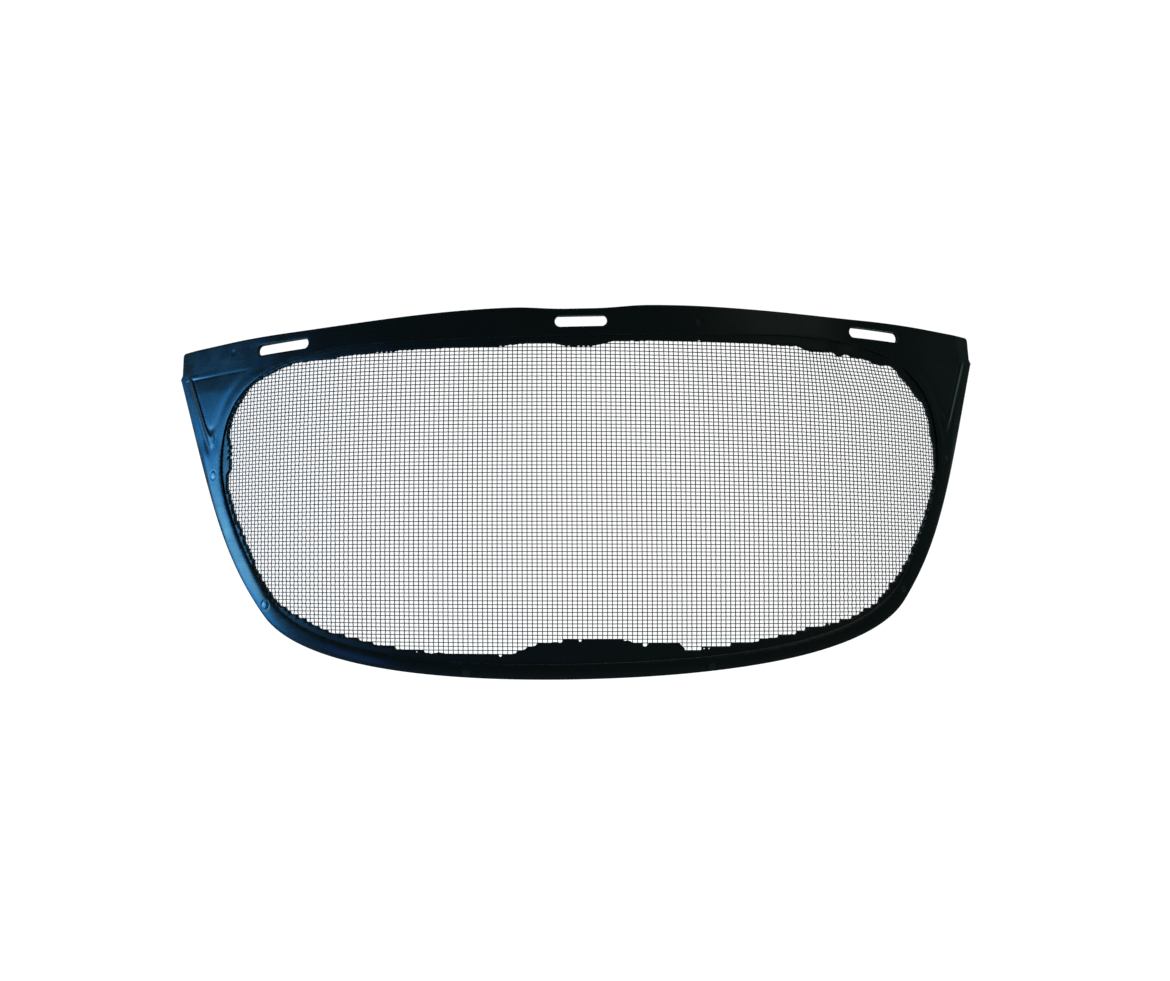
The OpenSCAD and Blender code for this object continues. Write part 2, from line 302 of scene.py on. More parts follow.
def outer_line():
    """Front-view outline of both frames, clockwise from the top middle."""
    turn = np.radians(np.arange(90, -1, -15))[:, None]
    corner = np.array([CORNER_X - CORNER_R, SHOULDER_Z - CORNER_R])
    half = np.concatenate([
        [[0, TOP_MID_Z], [5, TOP_MID_Z]],
        cubic((5, TOP_MID_Z), (14, TOP_MID_Z), (20, TOP), (HUMP_X, TOP)),
        cubic((HUMP_X, TOP), (62, TOP), (88, SHOULDER_Z), (122, SHOULDER_Z)),
        corner + CORNER_R * np.concatenate([np.cos(turn), np.sin(turn)], 1),
        [[CORNER_X + 0.4, STEP_Z + 1.8], [WIDEST, STEP_Z], FLANK_START],
        cubic(FLANK_START, FLANK_START + 60 * FLANK_DIR, LOW_CORNER + 34 * LOW_CORNER_DIR, LOW_CORNER),
        cubic(LOW_CORNER, LOW_CORNER - 24.5 * LOW_CORNER_DIR, (68, BOTTOM), (0, BOTTOM)),
    ])
    return mirrored(half)


def window_line():
    """Front-view outline of the window in the front frame, clockwise from the top middle."""
    wide = (WINDOW_X, WINDOW_WIDE_Z)
    half = np.concatenate([
        [[0, WINDOW_TOP], [40, WINDOW_TOP], [80, WINDOW_TOP]],
        cubic((80, WINDOW_TOP), (140, WINDOW_TOP), (WINDOW_X, -20), wide),
        cubic(wide, (WINDOW_X, -72.8), WINDOW_CORNER + 7.3 * LOW_CORNER_DIR, WINDOW_CORNER),
        cubic(WINDOW_CORNER, WINDOW_CORNER - 28.5 * LOW_CORNER_DIR, (61.6, WINDOW_BOTTOM),
              (0, WINDOW_BOTTOM)),
    ])
    return mirrored(half)


def slot_line(name, n, longer=0.0):
    """Front-view outline of one mounting slot on the layer at n, clockwise."""
    mount = next(m for m in frame["record"]["mounts"] if m["name"] == name)
    x, y, z = (v / MM for v in mount["pos_m"])
    length, tilt = SLOTS[name]
    side, tilt = (-1 if x < 0 else 1), math.radians(tilt)
    a = np.radians(np.arange(90, -270, -9))
    along = np.where(np.cos(a) > 1e-6, 1, -1) * ((length - SLOT_H) / 2 + longer) + SLOT_H / 2 * np.cos(a)
    up = SLOT_H / 2 * np.sin(a)
    arc = arc_near(x, y) + along * math.cos(tilt) + side * up * math.sin(tilt)
    height = z - side * along * math.sin(tilt) + up * math.cos(tilt)
    return resampled(np.stack([plan_point(arc, n)[0], height], 1), SLOT_STEP)


def distance_to(points, line):
    """Distance from each point to a closed line."""
    start, along = line, np.roll(line, -1, 0) - line
    length2 = (along**2).sum(1)
    found = np.empty(len(points))
    for i in range(0, len(points), 1500):
        gap = points[i : i + 1500, None] - start[None]
        t = np.clip((gap * along).sum(2) / length2, 0, 1)
        found[i : i + 1500] = np.sqrt(((gap - t[..., None] * along) ** 2).sum(2).min(1))
    return found


def is_inside(points, line):
    """Whether each point is inside a closed line."""
    x0, z0 = line[:, 0], line[:, 1]
    x1, z1 = np.roll(x0, -1), np.roll(z0, -1)
    rise = np.where(z1 == z0, 1e-9, z1 - z0)
    inside = np.empty(len(points), bool)
    for i in range(0, len(points), 1500):
        px, pz = points[i : i + 1500, :1], points[i : i + 1500, 1:]
        crosses = (z0 > pz) != (z1 > pz)
        hit = crosses & (px < x0 + (pz - z0) * (x1 - x0) / rise)
        inside[i : i + 1500] = hit.sum(1) % 2 == 1
    return inside


OUTER = resampled(outer_line(), EDGE_STEP)
WINDOW = resampled(window_line(), EDGE_STEP)


def smooth(value, low, high):
    """0 up to low, 1 from high on, and a smooth rise between."""
    t = np.clip((value - low) / (high - low), 0, 1)
    return t * t * (3 - 2 * t)


def growing(value, start, growth, low, high):
    """The start up to low, more by the growth from high on, and a smooth rise between."""
    return start + growth * smooth(value, low, high)


def softer_min(a, b, width):
    """The smaller of two values, rounded where they are close."""
    h = np.clip(0.5 + 0.5 * (b - a) / width, 0, 1)
    return b + (a - b) * h - width * h * (1 - h)


def crown(share):
    """Cross-section of a rail: 0 at both edges, 1 in the middle, and nearly flat between."""
    return 1 - (2 * np.clip(share, 0, 1) - 1) ** 4


def rounded(distance, radius):
    """How far a rounded edge lies below its face, at a distance from the edge."""
    inward = np.clip(radius - distance, 0, radius)
    return radius - np.sqrt(radius**2 - inward**2)


# ---------------------------------------------------------------- relief of the frames

def rivet_place(name):
    """Arc length and height of a rivet, from its CAD solid."""
    low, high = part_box(name)
    middle = (low + high) / 2 / MM
    return arc_near(middle.x, middle.y), middle.z


RIVET_AT = {name: rivet_place(name) for name in RIVETS}


def is_on_land(z):
    """Whether a height is on the mounting land, the top bar that the slots are in."""
    return z > RIDGE_Z


def pad_depth(side, z, to_window):
    """Distance inside the bead that borders the triangular pad, and how much nearer the window is."""
    from_side = -(side - PAD_OUTER[0]) * math.cos(PAD_LEAN) + (z - PAD_OUTER[1]) * math.sin(PAD_LEAN)
    from_window = to_window - PAD_BAND
    below_tip = softer_min(from_side, from_window, PAD_TIP)
    return softer_min(below_tip, RIDGE_Z - z, RIDGE_SOFT), from_side - from_window


def pad_relief(side, z, to_window):
    """Raised triangular pad below the ridge, bordered by a bead between a valley and a groove."""
    depth, beyond = pad_depth(side, z, to_window)
    on_ridge = RIDGE_Z - z < depth + RIDGE_REACH
    beside_window = 1 - smooth(beyond, *BEAD_END)
    bead_share = np.where(on_ridge, growing(side, *RIDGE_BEAD), beside_window)
    groove_share = np.where(on_ridge, growing(side, *RIDGE_GROOVE), beside_window)
    bead = BEAD_H * np.exp(-((depth / BEAD_W) ** 4))
    groove = GROOVE_H * np.exp(-(((depth - GROOVE_IN) / GROOVE_W) ** 2))
    valley = VALLEY_H * np.exp(-(((depth + VALLEY_OUT) / VALLEY_W) ** 2))
    valley = valley * beside_window * (z < VALLEY_TOP)
    plateau = PAD_H * smooth(depth, *PAD_RISE) * smooth(RIDGE_Z - z, *PAD_BELOW_RIDGE)
    plateau = plateau * smooth(to_window, *PAD_FROM_WINDOW)
    return (plateau + bead_share * bead - groove_share * groove - valley) * smooth(side, *PAD_SIDE)


def strip_drop(side, z):
    """How far the side strip has fallen back behind the face, outside its fold line."""
    fold = FOLD_AT[0] + (z - FOLD_AT[1]) * np.where(z < FOLD_AT[1], FOLD_BELOW, FOLD_ABOVE)
    past = (side - fold) / math.cos(END_TURN)
    return STRIP_SLOPE * 0.5 * (past + np.sqrt(past**2 + FOLD_SOFT))


def rivet_relief(x, z, n):
    """Sunk ring round each rivet of the rail, and a shallow dimple round each one of the top bar."""
    arc = arc_at(x, n)
    relief = np.zeros(len(x))
    for at, height in RIVET_AT.values():
        r = np.hypot(arc - at, z - height)
        if is_on_land(height):
            relief -= DIMPLE_H * np.exp(-((r / DIMPLE_R) ** 2))
        else:
            relief -= RING_H * np.exp(-(((r - RING_R) / RING_W) ** 2))
    return relief


def waviness(x, z):
    """Slow unevenness of thin moulded plastic, at most 0.08 mm."""
    return 0.05 * np.sin(x / 15 + 1.1) * np.cos(z / 13 + 0.4) + 0.03 * np.sin(x / 6.1 - z / 9.7)


def in_pocket(to_window):
    """1 where the cloth is gripped between the frames, 0 outside."""
    return 1 - smooth(to_window, *POCKET_END)


def front_face(x, z, to_outer, to_window, to_slot):
    """Front of the front frame, with all its relief."""
    side = np.abs(x)
    on_pad = smooth(z, *PAD_LOW_FADE)
    whole = crown(to_window / (to_window + to_outer + 1e-9))
    band = crown(to_window / RAIL_BAND)
    rail = RAIL_H * (whole + (PAD_RAIL_SHARE * band - whole) * on_pad) * (1 - smooth(z, RAIL_FADE_Z, RIDGE_Z))
    height = FRONT_N + rail + pad_relief(side, z, to_window) + rivet_relief(x, z, FRONT_N) + waviness(x, z)
    height -= strip_drop(side, z)
    height -= rounded(to_outer, OUTER_ROUND) + rounded(to_window, RIM_ROUND) + rounded(to_slot, SLOT_ROUND)
    return height


def front_back(x, z, to_outer, to_window, to_slot):
    """Rear side of the front frame, with the pocket that the cloth lies in."""
    return PARTING_N + (CLOTH_N - PARTING_N) * in_pocket(to_window) + rounded(to_outer, BACK_ROUND)


def rear_front(x, z, to_outer, to_window, to_slot):
    """Front side of the rear frame, with its half of the pocket."""
    return PARTING_N - (CLOTH_N + PARTING_N) * in_pocket(to_window) - rounded(to_outer, BACK_ROUND)


def rear_back(x, z, to_outer, to_window, to_slot):
    """Rear side of the rear frame, with a fine gap round each rivet's head."""
    arc = arc_at(x, REAR_N)
    height = REAR_N + rounded(to_outer, OUTER_ROUND) + rounded(to_window, RIM_ROUND)
    height = height + rounded(to_slot, SLOT_ROUND)
    for at, up in RIVET_AT.values():
        r = np.hypot(arc - at, z - up)
        height = height + GAP_H * np.exp(-(((r - GAP_R) / GAP_W) ** 2))
    return height


# ---------------------------------------------------------------- meshes

def make_mesh(name, points, polygons, material, edge=None):
    """An object from points in millimetres and arrays of polygons, each array of one corner count."""
    mesh = bpy.data.meshes.new(name)
    mesh.vertices.add(len(points))
    mesh.vertices.foreach_set("co", (np.asarray(points) * MM).astype(np.float32).ravel())
    corners = np.concatenate([p.ravel() for p in polygons]).astype(np.int32)
    sizes = np.concatenate([np.full(len(p), p.shape[1]) for p in polygons])
    starts = np.concatenate([[0], np.cumsum(sizes)[:-1]]).astype(np.int32)
    mesh.loops.add(len(corners))
    mesh.loops.foreach_set("vertex_index", corners)
    mesh.polygons.add(len(sizes))
    mesh.polygons.foreach_set("loop_start", starts)
    mesh.polygons.foreach_set("use_smooth", np.ones(len(sizes), bool))
    mesh.update(calc_edges=True)
    mesh.validate()
    if edge is not None:
        worn = mesh.attributes.new("edge", "FLOAT", "POINT")
        worn.data.foreach_set("value", np.asarray(edge, np.float32))
    mesh.materials.append(material)
    made = bpy.data.objects.new(name, mesh)
    bpy.context.scene.collection.objects.link(made)
    return made


def place(piece, slot, *nodes):
    """Attach a piece to the body that it moves with and hide the CAD nodes that it stands for; the slot is
    not used.
    """
    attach(piece, "root")
    if nodes:
        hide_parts(*nodes)
    return piece


def open_edges(faces):
    """Directed edges that only one of the faces has."""
    sides = faces.shape[1]
    edges = np.concatenate([faces[:, [k, (k + 1) % sides]] for k in range(sides)])
    _, first, count = np.unique(np.sort(edges, 1), axis=0, return_index=True, return_counts=True)
    return edges[first[count == 1]]


def edge_rings(line, radius, outwards):
    """Rings beside an edge, spaced so that its rounding is smooth."""
    angles = np.radians(np.linspace(0, 90, ROUND_STEPS))
    return [grown(line, outwards * radius * (1 - math.cos(a))) for a in angles]


def grid(low, high, step):
    """Points in staggered rows."""
    xs, zs = np.meshgrid(np.arange(low[0], high[0], step), np.arange(low[1], high[1], step))
    xs = xs + np.where(np.arange(zs.shape[0])[:, None] % 2, step / 2, 0)
    return np.stack([xs.ravel(), zs.ravel()], 1)


def needs_detail(points):
    """Whether relief with fine features lies near each point."""
    side, z = np.abs(points[:, 0]), points[:, 1]
    out = (side - PAD_OUTER[0]) * math.cos(PAD_LEAN) - (z - PAD_OUTER[1]) * math.sin(PAD_LEAN)
    near_bead = (out > BEAD_DETAIL[0]) & (out < BEAD_DETAIL[1]) & (z < RIDGE_Z + 1.0) & (z > PAD_LOW_Z - 6)
    near_ridge = (side > PAD_SIDE[0]) & (side < PAD_OUTER[0] + 1)
    near_ridge &= (z > RIDGE_Z + RIDGE_DETAIL[0]) & (z < RIDGE_Z + RIDGE_DETAIL[1])
    detail = near_bead | near_ridge
    for at, height in RIVET_AT.values():
        x = plan_point(np.array([at]), FRONT_N)[0][0]
        detail |= np.hypot(points[:, 0] - x, z - height) < RIVET_DETAIL
    return detail


def shell(name, rim, face_n, longer, face, back, material):
    """One frame as a closed solid: the same triangles front and back, and walls along every edge."""
    slots = [slot_line(s, face_n, longer) for s in SLOTS]
    rings = edge_rings(OUTER, OUTER_ROUND, -1) + edge_rings(rim, RIM_ROUND, 1)
    for slot in slots:
        rings += edge_rings(slot, SLOT_ROUND, 1)
    low, high = OUTER.min(0), OUTER.max(0)
    coarse, fine = grid(low, high, COARSE_GRID), grid(low, high, FINE_GRID)
    fine = fine[needs_detail(fine)]
    filling = np.concatenate([coarse[~needs_detail(coarse)], fine])
    filling = filling[is_inside(filling, OUTER) & ~is_inside(filling, rim)]
    clear = np.minimum(distance_to(filling, OUTER), distance_to(filling, rim)) > OUTER_ROUND + EDGE_CLEAR
    for slot in slots:
        clear &= ~is_inside(filling, slot) & (distance_to(filling, slot) > SLOT_ROUND + EDGE_CLEAR)
    points, edges = [], []
    for ring in rings:
        first, count = len(points), len(ring)
        points += [Vector(p) for p in ring]
        edges += [(first + i, first + (i + 1) % count) for i in range(count)]
    points += [Vector(p) for p in filling[clear]]
    flat, _, faces, *_ = delaunay_2d_cdt(points, edges, [], 0, 1e-5)
    flat = np.array([tuple(p) for p in flat])
    triangles = np.array(faces)
    middle = flat[triangles].mean(1)
    keep = is_inside(middle, OUTER) & ~is_inside(middle, rim)
    for slot in slots:
        keep &= ~is_inside(middle, slot)
    triangles = triangles[keep]
    used, triangles = np.unique(triangles, return_inverse=True)
    triangles, flat = triangles.reshape(-1, 3), flat[used]
    to_outer, to_rim = distance_to(flat, OUTER), distance_to(flat, rim)
    to_slot = np.min([distance_to(flat, slot) for slot in slots], 0)
    measures = (flat[:, 0], flat[:, 1], to_outer, to_rim, to_slot)
    front_n, back_n = face(*measures), back(*measures)
    arc = arc_at(flat[:, 0], front_n)
    shifted = plan_point(arc, back_n)[0]
    back_x = flat[:, 0] + (shifted - flat[:, 0]) * (1 - smooth(to_slot, *SLOT_SLANT))
    count = len(flat)
    solid = np.concatenate([on_view(flat[:, 0], flat[:, 1], front_n), on_view(back_x, flat[:, 1], back_n)])
    a, b, c = flat[triangles[:, 0]], flat[triangles[:, 1]], flat[triangles[:, 2]]
    area = (b[:, 0] - a[:, 0]) * (c[:, 1] - a[:, 1]) - (b[:, 1] - a[:, 1]) * (c[:, 0] - a[:, 0])
    triangles[area < 0] = triangles[area < 0][:, ::-1]
    rims = open_edges(triangles)
    walls = np.stack([rims[:, 1], rims[:, 0], rims[:, 0] + count, rims[:, 1] + count], 1)
    wear = 1 - smooth(np.minimum(np.minimum(to_outer, to_rim), to_slot), *WEAR_FADE)
    polygons = [triangles, triangles[:, ::-1] + count, walls]
    return make_mesh(name, solid, polygons, material, np.concatenate([wear, wear]))


# ---------------------------------------------------------------- wire cloth

def cloth_place(column, row):
    """Arc length, height and forward bulge of a place in the weave, counted in wires."""
    arc = (COLUMN_PITCH * column + COLUMN_LEAN * ROW_PITCH * row) / (1 + COLUMN_LEAN * ROW_FALL)
    z = ROW_PITCH * row - ROW_FALL * arc
    across = np.clip(np.abs(arc) / CLOTH_HALF_ARC, 0, 1)
    up = np.clip((z - CLOTH_MID_Z) / CLOTH_HALF_H, -1, 1)
    crease = smooth(arc, *CREASE_ARC) * smooth(z, *CREASE_Z) ** CREASE_POWER
    bow = CLOTH_BOW * (arc / CLOTH_HALF_ARC) * (1 - up**2)
    bulge = CLOTH_DOME * (1 - across**2) * (1 - up**2)
    ripple = CREASE_RIPPLE * crease * np.sin(arc / RIPPLE_LENGTH)
    return arc + bow - CREASE_PULL * crease, z, bulge + ripple


def to_rim(arc, z):
    """Distance inside the window's edge, negative outside it."""
    points = np.stack([plan_point(arc)[0], z], 1)
    return distance_to(points, WINDOW) * np.where(is_inside(points, WINDOW), 1, -1)


def tubes(name, lines, material):
    """Round wires along lists of points, each with the wall's normal there."""
    angles = np.arange(WIRE_SIDES) * 2 * math.pi / WIRE_SIDES
    points, sides, caps, start = [], [], [], 0
    for path, normal in lines:
        along = np.gradient(path, axis=0)
        along /= np.linalg.norm(along, axis=1)[:, None]
        out = normal - (normal * along).sum(1)[:, None] * along
        out /= np.linalg.norm(out, axis=1)[:, None]
        across = np.cross(along, out)
        cosines, sines = np.cos(angles)[None, :, None], np.sin(angles)[None, :, None]
        ring = cosines * out[:, None] + sines * across[:, None]
        points.append((path[:, None] + WIRE_D / 2 * ring).reshape(-1, 3))
        here = start + np.arange(len(path) * WIRE_SIDES).reshape(len(path), WIRE_SIDES)
        after = np.roll(here, -1, 1)
        sides.append(np.stack([here[:-1], after[:-1], after[1:], here[1:]], 2).reshape(-1, 4))
        caps += [here[0][::-1], here[-1]]
        start += here.size
    return make_mesh(name, np.concatenate(points), [np.concatenate(sides), np.array(caps)], material)


def wire_lines(upright):
    """Centre lines of every upright or every level wire, passing over and under the others."""
    steps = STEPS_PER_CELL
    if upright:
        numbers = range(-CLOTH_COLUMNS, CLOTH_COLUMNS + 1)
        other = np.arange(-CLOTH_ROWS_DOWN * steps, CLOTH_ROWS_UP * steps) / steps
    else:
        numbers = range(-CLOTH_ROWS_DOWN, CLOTH_ROWS_UP)
        other = np.arange(-CLOTH_COLUMNS * steps, CLOTH_COLUMNS * steps + 1) / steps
    lines = []
    for number in numbers:
        mine = np.full(len(other), float(number))
        column, row = (mine, other) if upright else (other, mine)
        arc, z, bulge = cloth_place(column, row)
        inside = np.flatnonzero(to_rim(arc, z) > -UNDER_RIM)
        if len(inside) < FEWEST_CELLS * steps:
            continue
        part = slice(inside[0], inside[-1] + 1)
        over = (1 if upright else -1) * WIRE_D / 2 * np.cos(math.pi * (other + number))
        arc, z, n, t = arc[part], z[part], (bulge + over)[part], turn_at(arc[part])
        normal = np.stack([np.sign(arc) * np.sin(t), -np.cos(t), 0 * t], 1)
        lines.append((on_arc(arc, z, n), normal))
    return lines


def in_parts(lines, parts):
    """Lists of wires of about the same total length."""
    length = np.cumsum([len(path) for path, _ in lines])
    part = np.minimum((length - 1) * parts // length[-1], parts - 1)
    return [[line for line, p in zip(lines, part) if p == k] for k in range(parts)]


# ---------------------------------------------------------------- plastic in the cells of the cloth

def lip_reach(arc, z):
    """How far the plastic reaches from the rim into the window."""
    reach = np.full(len(arc), LIP_REACH)
    for at, height, half_arc, half_z, change in LIP_CHANGES:
        near = ((arc - at) / half_arc) ** 2 + ((z - height) / half_z) ** 2
        reach += change * np.exp(-(near**3))
    return reach


def lip(name, material):
    """Plastic in the cells of the cloth along the window, as a closed solid with softened corners."""
    steps = LIP_STEPS
    left, low = -CLOTH_COLUMNS, -CLOTH_ROWS_DOWN
    cell_columns, cell_rows = np.meshgrid(np.arange(left, -left) + 0.5, np.arange(low, CLOTH_ROWS_UP) + 0.5)
    whole_cells = to_rim(*cloth_place(cell_columns.ravel(), cell_rows.ravel())[:2])
    columns, rows = np.meshgrid((np.arange(left * steps, -left * steps) + 0.5) / steps,
                                (np.arange(low * steps, CLOTH_ROWS_UP * steps) + 0.5) / steps)
    shape = columns.shape
    whole_cells = whole_cells.reshape(cell_rows.shape).repeat(steps, 0).repeat(steps, 1).ravel()
    columns, rows = columns.ravel(), rows.ravel()
    cell = (np.floor(columns) + 0.5, np.floor(rows) + 0.5)
    arc, z, _ = cloth_place(columns, rows)
    near = np.abs(whole_cells) < LIP_FAR
    inside = whole_cells.copy()
    inside[near] = to_rim(arc[near], z[near])
    stepped = growing(-z, *LIP_BY_CELL)
    uneven = LIP_UNEVEN * np.sin(2.3 * cell[0] + 1.7 * cell[1]) * np.sin(0.71 * cell[0] - 1.3 * cell[1])
    tooth = LIP_TOOTH * (np.cos(2 * math.pi * columns) + np.cos(2 * math.pi * rows))
    edge = inside + stepped * (whole_cells - inside) - tooth + stepped * uneven
    filled = (edge < lip_reach(arc, z)).reshape(shape)
    for _ in range(LIP_CLEANINGS):
        beside = sum(np.roll(filled, shift, axis).astype(int) for shift in (-1, 1) for axis in (0, 1))
        filled = np.where(beside >= 3, True, np.where(beside <= 1, False, filled))
    down, across = np.nonzero(filled & (inside.reshape(shape) > -UNDER_RIM))
    wide = shape[1] + 1
    first = down * wide + across
    corners = np.stack([first, first + 1, first + wide + 1, first + wide], 1)
    used, quads = np.unique(corners, return_inverse=True)
    quads = quads.reshape(-1, 4)
    weave = np.stack([used % wide / steps + left, used // wide / steps + low], 1)
    rim_edges = open_edges(quads)
    ring = np.zeros(len(used), bool)
    ring[rim_edges.ravel()] = True
    for _ in range(LIP_SOFTENINGS):
        total, number = np.zeros_like(weave), np.zeros(len(used))
        for a, b in ((0, 1), (1, 0)):
            np.add.at(total, rim_edges[:, a], weave[rim_edges[:, b]])
            np.add.at(number, rim_edges[:, a], 1)
        weave[ring] = 0.5 * weave[ring] + 0.5 * total[ring] / number[ring][:, None]
    beside = np.zeros(len(used), bool)
    beside[quads[ring[quads].any(1)].ravel()] = True
    sunk = np.where(ring, LIP_EDGE_SUNK, np.where(beside, LIP_ROW_SUNK, 0.0))
    arc, z, bulge = cloth_place(weave[:, 0], weave[:, 1])
    inside = to_rim(arc, z)
    fillet = LIP_FILLET * (1 - smooth(inside, 0, FILLET_REACH))
    front, rear = LIP_FRONT + bulge + fillet - sunk, LIP_BACK + bulge + sunk
    count = len(used)
    points = np.concatenate([on_arc(arc, z, front), on_arc(arc, z, rear)])
    one, other = rim_edges[:, 0], rim_edges[:, 1]
    walls = np.stack([other, one, one + count, other + count], 1)
    wear = np.where(ring, LIP_EDGE_WEAR, 0.0)
    polygons = [quads, quads[:, ::-1] + count, walls]
    return make_mesh(name, points, polygons, material, np.concatenate([wear, wear]))


# ---------------------------------------------------------------- rivets

def rivet(name, material):
    """One rivet turned round its axis: domed head, shank, and rear head flush with the rear frame."""
    at, z = RIVET_AT[name]
    x = plan_point(np.array([at]), FRONT_N)[0]
    here = np.stack([x, [z]], 1)
    to_slot = np.array([FAR_FROM_SLOTS])
    base = front_face(x, here[:, 1], distance_to(here, OUTER), distance_to(here, WINDOW), to_slot)[0]
    head_r, dome_h, sunk = LAND_HEAD if is_on_land(z) else RAIL_HEAD
    rear_n = REAR_N + REAR_HEAD_T
    dome = [(head_r * math.cos(a) ** DOME_POWER, base - sunk + (sunk + dome_h) * math.sin(a) ** DOME_POWER)
            for a in np.radians(np.linspace(0, 90, HEAD_STEPS))]
    dome[-1] = (0.0, base + dome_h)
    under_head = [(head_r, base - sunk - HEAD_EDGE), (SHANK_R, base - sunk - HEAD_UNDER), (SHANK_R, rear_n)]
    rear_head = [(REAR_HEAD_R, rear_n), (REAR_HEAD_R, REAR_N + 0.06), (REAR_HEAD_R - 0.08, REAR_N - 0.02)]
    rear_head.append((0, REAR_N - REAR_BULGE))
    profile = dome[::-1] + under_head + rear_head
    segments = RIVET_SIDES
    turn = float(turn_at(at)) * (1 if at > 0 else -1)
    x, y = plan_point(np.array([at]))
    middle = np.array([x[0], y[0], z])
    out = np.array([math.sin(turn), -math.cos(turn), 0])
    side = np.array([math.cos(turn), math.sin(turn), 0])
    angles = np.arange(segments) * 2 * math.pi / segments
    rings = [middle + n * out
             + r * (np.cos(angles)[:, None] * side + np.sin(angles)[:, None] * [0, 0, 1])
             for r, n in profile[1:-1]]
    points = np.concatenate(rings + [[middle + n * out] for _, n in (profile[0], profile[-1])])
    here = np.arange(len(rings) * segments).reshape(len(rings), segments)
    after = np.roll(here, -1, 1)
    sides = np.stack([here[:-1], here[1:], after[1:], after[:-1]], 2).reshape(-1, 4)
    top, bottom = len(points) - 2, len(points) - 1
    fan_top = np.stack([np.full(segments, top), here[0], after[0]], 1)
    fan_bottom = np.stack([np.full(segments, bottom), after[-1], here[-1]], 1)
    return make_mesh(name + "_visual", points, [sides, fan_top, fan_bottom], material)


# ---------------------------------------------------------------- materials

# Darker and lighter tone, range of roughness, and index of refraction of each plastic
FRAME_TONES = (0.003, 0.0045, 0.005, 1), (0.006, 0.0075, 0.0075, 1)
LIP_TONES = (0.003, 0.004, 0.005, 1), (0.006, 0.007, 0.008, 1)
# The rivets' tones are lighter than the frame's black: painted light, making the domes look brighter as if
# they caught more light than the rail
RIVET_PAINTED_LIGHT_TONES = (0.012, 0.018, 0.02, 1), (0.02, 0.027, 0.03, 1)
RUBBED_TONE = (0.05, 0.055, 0.06, 1)
FRAME_ROUGHNESS, LIP_ROUGHNESS, RIVET_ROUGHNESS = (0.22, 0.3), (0.36, 0.46), (0.16, 0.22)
PLASTIC_IOR, RIVET_IOR = 1.5, 1.7
# Cleaner, duller and dirty tone of the steel wire
WIRE_TONES, DIRT_TONE = ((0.27, 0.26, 0.24, 1), (0.19, 0.185, 0.175, 1)), (0.06, 0.057, 0.052, 1)


class Nodes:
    """A material's nodes, joined as they are made."""

    def __init__(self, name):
        self.material = bpy.data.materials.new(name)
        self.material.use_nodes = True
        self.tree = self.material.node_tree
        self.shader = self.tree.nodes["Principled BSDF"]
        self.place = self.add("ShaderNodeTexCoord").outputs["Object"]

    def add(self, kind, **settings):
        node = self.tree.nodes.new(kind)
        for key, value in settings.items():
            setattr(node, key, value)
        return node

    def feed(self, socket, source):
        if isinstance(source, bpy.types.NodeSocket):
            self.tree.links.new(source, socket)
        else:
            socket.default_value = source

    def noise(self, scale, detail=3.0, stretch=None):
        place = self.place
        if stretch:
            mapping = self.add("ShaderNodeMapping")
            self.feed(mapping.inputs["Vector"], place)
            mapping.inputs["Scale"].default_value = stretch
            place = mapping.outputs["Vector"]
        node = self.add("ShaderNodeTexNoise")
        self.feed(node.inputs["Vector"], place)
        node.inputs["Scale"].default_value = scale
        node.inputs["Detail"].default_value = detail
        return node.outputs["Fac"]

    def range(self, value, low, high, from_low=0.3, from_high=0.7):
        node = self.add("ShaderNodeMapRange")
        keys = ("From Min", "From Max", "To Min", "To Max")
        for key, number in zip(keys, (from_low, from_high, low, high)):
            node.inputs[key].default_value = number
        self.feed(node.inputs["Value"], value)
        return node.outputs["Result"]

    def mix(self, share, first, second):
        node = self.add("ShaderNodeMix", data_type="RGBA")
        self.feed(node.inputs["Factor"], share)
        self.feed(node.inputs["A"], first)
        self.feed(node.inputs["B"], second)
        return node.outputs["Result"]

    def maths(self, operation, a, b):
        node = self.add("ShaderNodeMath", operation=operation)
        self.feed(node.inputs[0], a)
        self.feed(node.inputs[1], b)
        return node.outputs[0]

    def bump(self, height, strength, distance):
        node = self.add("ShaderNodeBump")
        node.inputs["Strength"].default_value = strength
        node.inputs["Distance"].default_value = distance
        self.feed(node.inputs["Height"], height)
        return node.outputs["Normal"]


def moulded_plastic(name, tones, roughness, ior):
    """Black satin plastic: cloudy tone, fine mould grain, faint scuffs, and edges rubbed a little paler."""
    n = Nodes(name)
    edge = n.add("ShaderNodeAttribute", attribute_name="edge").outputs["Fac"]
    cloud = n.range(n.noise(35, 4), 0, 1)
    colour = n.mix(cloud, *tones)
    rubbed = n.maths("MULTIPLY", edge, n.range(n.noise(420, 5), 0, 0.5, 0.45, 0.7))
    n.feed(n.shader.inputs["Base Color"], n.mix(rubbed, colour, RUBBED_TONE))
    scuffs = n.range(n.noise(60, 6, (1, 1, 14)), 0, 0.06, 0.5, 0.75)
    patches = n.range(n.noise(90, 3), *roughness)
    scuffed = n.maths("ADD", patches, scuffs)
    n.feed(n.shader.inputs["Roughness"], n.maths("ADD", scuffed, n.maths("MULTIPLY", rubbed, 0.3)))
    grain = n.maths("ADD", n.noise(2600, 2), n.maths("MULTIPLY", n.noise(260, 3), 1.2))
    n.feed(n.shader.inputs["Normal"], n.bump(grain, 0.1, 0.00003))
    n.shader.inputs["IOR"].default_value = ior
    return n.material


